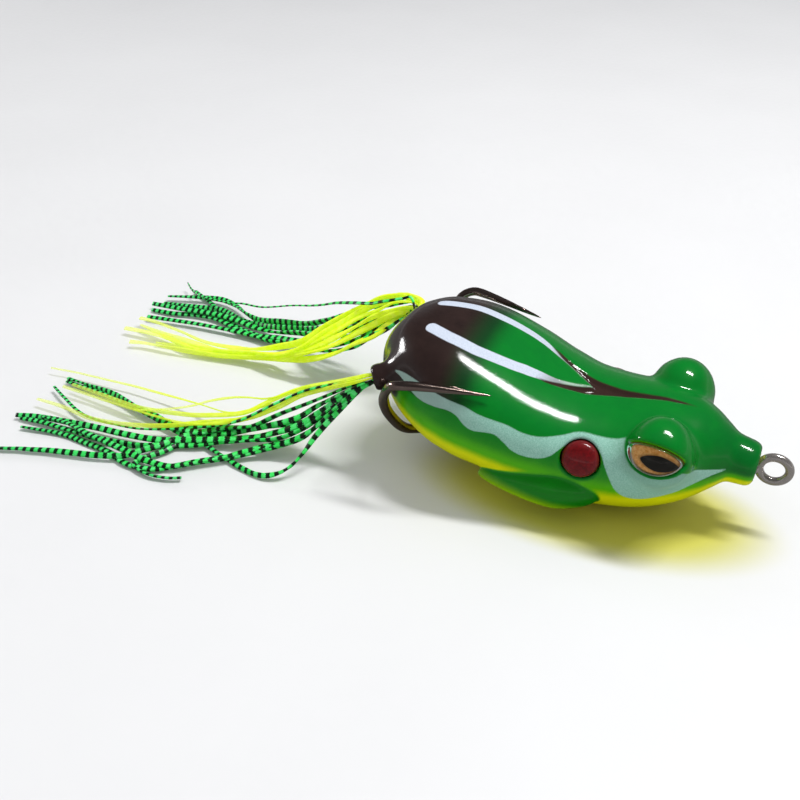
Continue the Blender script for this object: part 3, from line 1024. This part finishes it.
LEFT = [
    ("a", "y", 1.0, [(-36, 12.5, 19.5), (-40, 16.5, 18), (-43, 18.5, 16.5), (-47, 19, 15), (-50, 18.5, 13),
                     (-53.5, 16.5, 11), (-57.5, 13.5, 8.5), (-60.5, 11, 6.5), (-64.5, 10, 5), (-69.5, 9, 3.5),
                     (-75, 9, 2.4), (-81.5, 9, 2.1), (-88.5, 10.5, 2), (-95.5, 11.5, 2), (-99.5, 11.5, 2)]),
    ("a", "y", 1.0, [(-36, 12.5, 19), (-40, 16, 17.5), (-43, 18, 16.5), (-46.5, 18.5, 14.5), (-49.5, 17.5, 13),
                     (-53, 15.5, 10.5), (-56.5, 12.5, 8.5), (-59.5, 10, 6.5), (-64, 8.5, 4.5), (-70, 8.5, 3),
                     (-76, 7.5, 2.2), (-81.5, 7.5, 2), (-88, 8, 1.9), (-93.5, 9, 1.8), (-98, 10, 1.8)]),
    ("b", "y", 1.0, [(-36.5, 12.5, 18.5), (-40.5, 15.5, 17), (-44, 16.5, 15.5), (-47, 16.5, 13.5), (-50.5, 15.5, 11.5),
                     (-53.5, 13.5, 9.5), (-57, 11, 7.5), (-60.5, 9, 5.5), (-64.5, 8.5, 4), (-71, 8.5, 2.5),
                     (-77, 7.5, 1.8), (-82, 6.5, 1.7), (-88.5, 7.5, 1.6), (-94.5, 8, 1.6), (-100.5, 8, 1.5)]),
    ("b", "y", 0.95, [(-37.5, 13, 17.5), (-40.5, 15, 16), (-43.5, 15.5, 14.5), (-47, 15, 13), (-50, 14, 11),
                      (-53, 12.5, 9), (-56.5, 10.5, 7), (-60, 9, 5.5), (-64, 8.5, 4), (-70, 8, 2.5), (-76, 7, 1.7),
                      (-81, 6, 1.6), (-87.5, 5, 1.5), (-93, 4.5, 1.5), (-96.5, 3.5, 1.5)]),
    ("c", "y", 0.95, [(-38, 14, 16), (-41, 15, 15), (-44, 15, 13.5), (-47, 14.5, 11.5), (-49.5, 13, 10),
                      (-52.5, 11.5, 8), (-55.5, 10, 6.5), (-59.5, 9, 5), (-64, 8.5, 3.5), (-68.5, 8.5, 2.5),
                      (-74.5, 7.5, 1.6), (-80, 6.5, 1.4), (-86, 7, 1.3), (-92, 9, 1.2)]),
    ("i", "y", 0.95, [(-39, 15, 15), (-41.5, 15.5, 13.5), (-44, 14.5, 12), (-46.5, 13, 10), (-49.5, 11.5, 8.5),
                      (-52.5, 10.5, 6.5), (-56, 9.5, 5), (-60.5, 9, 3.5), (-66, 9.5, 2), (-73, 8.5, 1.3),
                      (-82, 8, 1.1), (-92, 6.5, 1.0)]),
    ("d", "g", 0.45, [(-38.5, 13.6, 19.0), (-41, 14.5, 18), (-45.5, 15.5, 16), (-48.5, 16.5, 14.5), (-53, 17.5, 13),
                     (-57, 18.5, 11.5), (-61, 19, 10), (-67.5, 20, 8), (-75, 20.5, 5.5), (-80.5, 21.5, 4.5),
                     (-85, 22, 3.5), (-92.5, 24, 2.5), (-96.5, 26.5, 2), (-99, 28.5, 2)]),
    ("g", "g", 0.9, [(-38, 15, 17.5), (-42, 17.5, 15.5), (-47, 19, 13), (-51.5, 19.5, 11), (-55, 19, 9.5),
                     (-59, 18.5, 7.5), (-64.5, 18.5, 5), (-71, 19.5, 3.5), (-76.5, 21, 2), (-80.5, 22.5, 1.6),
                     (-84.5, 24.5, 1.5), (-88.5, 25.5, 1.4), (-93.5, 25, 1.3), (-100.5, 23, 1.3)]),
    ("g", "g", 0.9, [(-38.5, 15, 16.5), (-42.5, 16.5, 14.5), (-46.5, 17, 12.5), (-50.5, 17, 10.5), (-54.5, 17, 8.5),
                     (-59, 17, 6.5), (-64.5, 18, 4.5), (-70.5, 18.5, 3), (-76, 20, 1.5), (-80.5, 20.5, 1.1),
                     (-86.5, 22.5, 1.0), (-91.5, 22, 1), (-100, 21, 1)]),
    ("e", "g", 0.9, [(-39.5, 15, 15.5), (-43, 16, 13.5), (-47, 16.5, 11.5), (-51, 16, 9.5), (-54.5, 15.5, 7.5),
                     (-58.5, 15.5, 6), (-65, 17, 4), (-71, 18, 2), (-76, 18.5, 1.7), (-81.5, 19.5, 1.6),
                     (-88, 19.5, 1.5), (-93, 19, 1.5), (-101.5, 18.5, 1.4)]),
    ("e", "g", 0.85, [(-40, 15, 15), (-44, 16, 12.5), (-47, 15, 10.5), (-50.5, 14.5, 8.5), (-54.5, 14.5, 7),
                      (-59, 14.5, 5), (-63.5, 15, 3.5), (-69.5, 16.5, 2), (-74.5, 17, 1), (-79.5, 17.5, 0.9),
                      (-85.5, 19.5, 0.9), (-90.5, 19.5, 0.8), (-96, 18, 0.8), (-101, 17.5, 0.8)]),
    ("f", "g", 0.9, [(-40, 15, 14), (-44, 15, 12), (-47, 14, 10), (-50.5, 13, 8), (-54.5, 12.5, 6), (-59.5, 13.5, 4.5),
                     (-65.5, 15.5, 2.5), (-70, 15.5, 1.6), (-74, 16, 1.3), (-80.5, 16, 1.2), (-90, 15.5, 1.1),
                     (-99.5, 14, 1)]),
    ("h", "g", 0.85, [(-40.5, 14.5, 14), (-43.5, 14, 11.5), (-47, 13, 9.5), (-50, 12, 7.5), (-54, 11.5, 6),
                      (-59, 12.5, 4), (-65.5, 15, 2.5), (-70.5, 15.5, 1.2), (-75.5, 17, 0.8), (-79, 18, 0.7),
                      (-82.5, 19.5, 0.7), (-87, 22, 0.7), (-91, 25, 0.7), (-97, 28.5, 0.7)]),
]
for _, _, _, pts in LEFT:                       # keep the far bundle close in to its socket
    for k, (px, py, pz) in enumerate(pts):
        lean = float(np.interp(px, [-66, -56, -47, -41, -37], [0.0, 2.0, 3.4, 2.4, 0.3]))
        clear = (0.7, 0.55, 0.25)[k] if k < 3 else 0.0                # and clear of the socket's lip
        pts[k] = (px + 0.42 * lean - clear, py - lean + 0.3 * clear, pz + 0.62 * lean)


def silicone(name, yellow, sheer=(0.04, 0.60)):
    """Printed silicone ribbon: colour by distance along the strand, bars that crowd towards the tip."""
    p = Paint(name)
    s = p.attr("along")                      # mm from the socket
    phase = p.attr("bar_phase")              # turns of the bar print
    tip_end = p.attr("to_tip")               # 0 at the socket, 1 at the tip
    co = p.coords()
    grain = p.noise(co, 5.0, 3.0, 0.6)
    blotch = p.noise(co, 1.1, 2.0, 0.5)
    if yellow:
        col = p.mix(p.step(blotch, 0.35, 0.7), srgb(236, 252, 34), srgb(244, 255, 84))
        col = p.mix(p.step(tip_end, 0.55, 1.0, 0.0, 0.6), col, srgb(244, 252, 150))
        col = p.mix(p.step(grain, 0.6, 0.75, 0.0, 0.25), col, srgb(216, 244, 24))
        sh = p.principled(Base_Color=col, Roughness=p.step(grain, 0.3, 0.7, 0.32, 0.48), Specular_IOR_Level=0.5,
                          Emission_Color=col, Emission_Strength=0.14 if sheer[0] < 0.1 else 0.05,     # day-glow pigment
                          Normal=p.bump(grain, 0.15, 0.00004))
        trans = p.node("ShaderNodeBsdfTranslucent")
        p.put(trans.inputs["Color"], col)
        mix = p.node("ShaderNodeMixShader")
        mix.inputs[0].default_value = 0.38
        p.put(mix.inputs[1], sh)
        p.put(mix.inputs[2], trans.outputs[0])
        clear = p.node("ShaderNodeBsdfTransparent")
        clear.inputs["Color"].default_value = (0.98, 1.0, 0.86, 1)
        fade = p.node("ShaderNodeMixShader")
        p.put(fade.inputs[0], p.step(tip_end, 0.35, 1.0, *sheer))
        p.put(fade.inputs[1], mix.outputs[0])
        p.put(fade.inputs[2], clear.outputs[0])
        return p.finish(fade.outputs[0])
    col = p.mix(p.step(blotch, 0.35, 0.7), srgb(44, 226, 84), srgb(92, 240, 130))
    col = p.mix(p.step(grain, 0.6, 0.75, 0.0, 0.25), col, srgb(110, 225, 140))
    col = p.mix(p.step(tip_end, 0.5, 1.0, 0.0, 0.35), col, srgb(70, 190, 120))
    saw = p.math("FRACT", p.math("ADD", phase, p.math("MULTIPLY", p.math("SUBTRACT", grain, 0.5), 0.42)))
    tri = p.math("ABSOLUTE", p.math("SUBTRACT", saw, 0.5))
    bar = p.step(tri, 0.262, 0.205)
    wear = p.step(grain, 0.25, 0.45, 0.72, 1.0)
    col = p.mix(p.math("MULTIPLY", bar, wear), col, srgb(8, 18, 12))
    sh = p.principled(Base_Color=col, Roughness=p.step(grain, 0.3, 0.7, 0.30, 0.45), Specular_IOR_Level=0.5,
                      Normal=p.bump(grain, 0.15, 0.00004))
    trans = p.node("ShaderNodeBsdfTranslucent")
    p.put(trans.inputs["Color"], col)
    mix = p.node("ShaderNodeMixShader")
    mix.inputs[0].default_value = 0.18
    p.put(mix.inputs[1], sh)
    p.put(mix.inputs[2], trans.outputs[0])
    return p.finish(mix.outputs[0])


green_mat, yellow_mat = silicone("silicone_green_barred", False), silicone("silicone_chartreuse_clear", True)
thin_yellow = silicone("silicone_chartreuse_thin", True, (0.22, 0.72))
CAD_COLOUR = {"left": dict(a="y", b="y", c="y", i="y"), "right": dict(a="y", c="y")}
for side, tag, table in ((1, "left", LEFT), (-1, "right", RIGHT)):
    mouth = to_ground(NUB_MOUTH * (1, side, 1))
    out = (NUB_MOUTH - NUB_ROOT) * (1, side, 1)
    out = (out / np.linalg.norm(out)) @ ROT.T
    across = np.cross((0, 0, 1.0), out)
    across *= -side / np.linalg.norm(across)
    upward = np.cross(out, across)
    upward *= np.sign(upward[2])
    groups = {}
    total = len(table)
    for i, (strand, colour, width, points) in enumerate(table):
        # place in the socket: yellow on top, green below, spread across
        row = 0.84 - 1.68 * i / (total - 1)
        col = ((i * 7) % 5 - 2) * 0.26
        lim = math.sqrt(max(0.95 ** 2 - row ** 2, 0.02))
        cell = upward * row * 0.95 + across * max(min(col * 1.3, lim), -lim)
        line = [mouth - out * 0.7 + cell * 0.55, mouth + out * 0.6 + cell * 0.92]
        first = np.array(points[0], float)
        gap = first - line[1]
        if np.linalg.norm(gap) > 6.0:
            line.append(line[1] + out * 0.09 * np.linalg.norm(gap) + gap * 0.16)
        line += [np.array(q, float) for q in points]
        pathp = smooth_path(line, 150)
        arc = np.concatenate([[0], np.cumsum(np.linalg.norm(np.diff(pathp, axis=0), axis=1))])
        rng = np.random.default_rng(100 * (side + 2) + i)
        wob = smooth_path(rng.normal(0, 1, (9, 3)), len(arc))[:, :2]
        fade = smoothstep(4, 20, arc)[:, None]
        pathp[:, 1:3] += wob * fade * np.array([0.22, 0.08])
        pathp[:, 2] = np.maximum(pathp[:, 2], 0.40)
        twist = np.interp(arc, np.linspace(0, arc[-1], 7), rng.normal(0, 0.7, 7)) + rng.uniform(-0.5, 0.5)
        thin = np.interp(arc / arc[-1], [0, 0.03, 0.08, 0.2, 0.85, 1.0], [0.42, 0.5, 0.78, 1.0, 0.95, 0.7])
        v, f, dist = sweep(pathp, 0.5 * width * 1.42 * thin, 0.5 * min(width, 0.8) * 0.72 * thin, 8, 3.2, twist=twist)
        pitch = np.interp(dist / arc[-1], [0, 0.25, 0.6, 1.0], [2.7, 2.3, 1.5, 1.15]) * rng.uniform(0.88, 1.12)
        order = np.argsort(dist, kind="stable")
        phase = np.zeros(len(dist))
        phase[order] = np.cumsum(np.diff(dist[order], prepend=0) / pitch[order]) + rng.uniform(0, 1)
        extra = np.stack([dist, phase, dist / arc[-1]], 1)
        groups.setdefault((strand, colour), []).append((v, f, extra))
    for (strand, colour), parts in groups.items():
        v, f, extra = joined(parts)
        o = mesh_from("ribbon_%s_%s" % (tag, strand), v, f, ground=True)
        attribute(o, "along", extra[:, 0])
        attribute(o, "bar_phase", extra[:, 1])
        attribute(o, "to_tip", extra[:, 2])
        o.data.materials.append((yellow_mat if side == 1 else thin_yellow) if colour == "y" else green_mat)
        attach(o, "skirt_" + tag)
        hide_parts("strand_%s_%s" % (tag, strand))

# ------------------------------------------------------------------ stage, light, camera
def floor_material():
    p = Paint("pale_table")
    co = p.coords()
    n = p.noise(co, 0.02, 3.0, 0.5)
    g = p.noise(co, 0.5, 3.0, 0.6)
    col = p.mix(n, (0.62, 0.62, 0.625, 1), (0.67, 0.67, 0.675, 1))
    sep = p.node("ShaderNodeSeparateXYZ")                    # chartreuse bounce under the belly
    p.put(sep.inputs[0], co)
    ex = p.math("DIVIDE", p.math("ADD", sep.outputs["X"], 0.0), 28.0)
    ey = p.math("DIVIDE", p.math("ADD", sep.outputs["Y"], 4.0), 13.5)
    rr = p.math("ADD", p.math("POWER", p.math("ABSOLUTE", ex), 2.0), p.math("POWER", p.math("ABSOLUTE", ey), 2.0))
    col = p.mix(p.step(rr, 1.35, 0.45, 0.0, 0.92), col, (0.50, 0.47, 0.03, 1))
    seen = p.node("ShaderNodeLightPath").outputs["Is Glossy Ray"]
    col = p.mix(p.math("MULTIPLY", seen, 0.80), col, (0.0, 0.0, 0.0, 1))     # the table shows only weakly in the gloss
    sh = p.principled(Base_Color=col, Roughness=p.step(g, 0.3, 0.7, 0.42, 0.55), Specular_IOR_Level=0.35,
                      Normal=p.bump(g, 0.05, 0.0002))
    return p.finish(sh)


bm = bmesh.new()
bmesh.ops.create_grid(bm, x_segments=2, y_segments=2, size=3.0)
me = bpy.data.meshes.new("table_top")
bm.to_mesh(me)
bm.free()
table_top = bpy.data.objects.new("table_top", me)
bpy.context.scene.collection.objects.link(table_top)
me.materials.append(floor_material())


def area_light(name, azimuth, elevation, distance, width, length, watts, along=(1, 0, 0), target=(0, 0, 0.010)):
    """Rectangular lamp facing the target, its long side lying along the given direction."""
    li = bpy.data.lights.new(name, "AREA")
    li.shape = "RECTANGLE"
    li.size, li.size_y = width, length
    li.energy = watts
    o = bpy.data.objects.new(name, li)
    a, e = math.radians(azimuth), math.radians(elevation)
    d = Vector((math.cos(a) * math.cos(e), math.sin(a) * math.cos(e), math.sin(e)))
    y = Vector(along)
    y = (y - d * y.dot(d)).normalized()
    x = y.cross(d)
    o.matrix_world = Matrix.Translation(Vector(target) + d * distance) @ Matrix((x, y, d)).transposed().to_4x4()
    bpy.context.scene.collection.objects.link(o)
    return o


area_light("strip_front", 36, 70.5, 0.60, 0.052, 0.27, 3.4)
area_light("strip_rear", 174, 11, 0.60, 0.045, 0.13, 0.7, along=(0.3, 1, 0))
fill = area_light("overhead_fill", 250, 78, 0.70, 0.50, 0.50, 0.4)
fill.visible_glossy = False

world = bpy.data.worlds.new("studio")
bpy.context.scene.world = world
world.use_nodes = True
wt = world.node_tree
wt.nodes.clear()
wo = wt.nodes.new("ShaderNodeOutputWorld")
tc = wt.nodes.new("ShaderNodeTexCoord")
sep = wt.nodes.new("ShaderNodeSeparateXYZ")
ramp = wt.nodes.new("ShaderNodeValToRGB")
ramp.color_ramp.interpolation = "EASE"
ramp.color_ramp.elements[0].position = 0.0
ramp.color_ramp.elements[0].color = (0.75, 0.75, 0.76, 1)
ramp.color_ramp.elements[1].position = 0.50
ramp.color_ramp.elements[1].color = (0.045, 0.045, 0.047, 1)
ramp.color_ramp.elements.new(0.06).color = (0.16, 0.16, 0.165, 1)
wt.links.new(tc.outputs["Generated"], sep.inputs[0])
wt.links.new(sep.outputs["Z"], ramp.inputs[0])
seen = wt.nodes.new("ShaderNodeBackground")                   # what the gloss reflects: white walls, dark ceiling
wt.links.new(ramp.outputs[0], seen.inputs["Color"])
soft = wt.nodes.new("ShaderNodeBackground")                   # what fills the shadows
soft.inputs["Color"].default_value = (0.97, 0.98, 1.0, 1)
soft.inputs["Strength"].default_value = 0.64
path_info = wt.nodes.new("ShaderNodeLightPath")
pick = wt.nodes.new("ShaderNodeMixShader")
wt.links.new(path_info.outputs["Is Glossy Ray"], pick.inputs[0])
wt.links.new(soft.outputs[0], pick.inputs[1])
wt.links.new(seen.outputs[0], pick.inputs[2])
wt.links.new(pick.outputs[0], wo.inputs["Surface"])

cam_data = bpy.data.cameras.new("camera")
cam_data.sensor_width = 36.0
cam_data.lens = 44.19
cam_data.clip_start, cam_data.clip_end = 0.001, 50.0
cam = bpy.data.objects.new("camera", cam_data)
cam.location = (0.020957, -0.128336, 0.104888)
cam.rotation_euler = (math.radians(55.0086), math.radians(0.0509), math.radians(23.7158))
bpy.context.scene.collection.objects.link(cam)
bpy.context.scene.camera = cam
bpy.context.scene.view_settings.view_transform = "Standard"
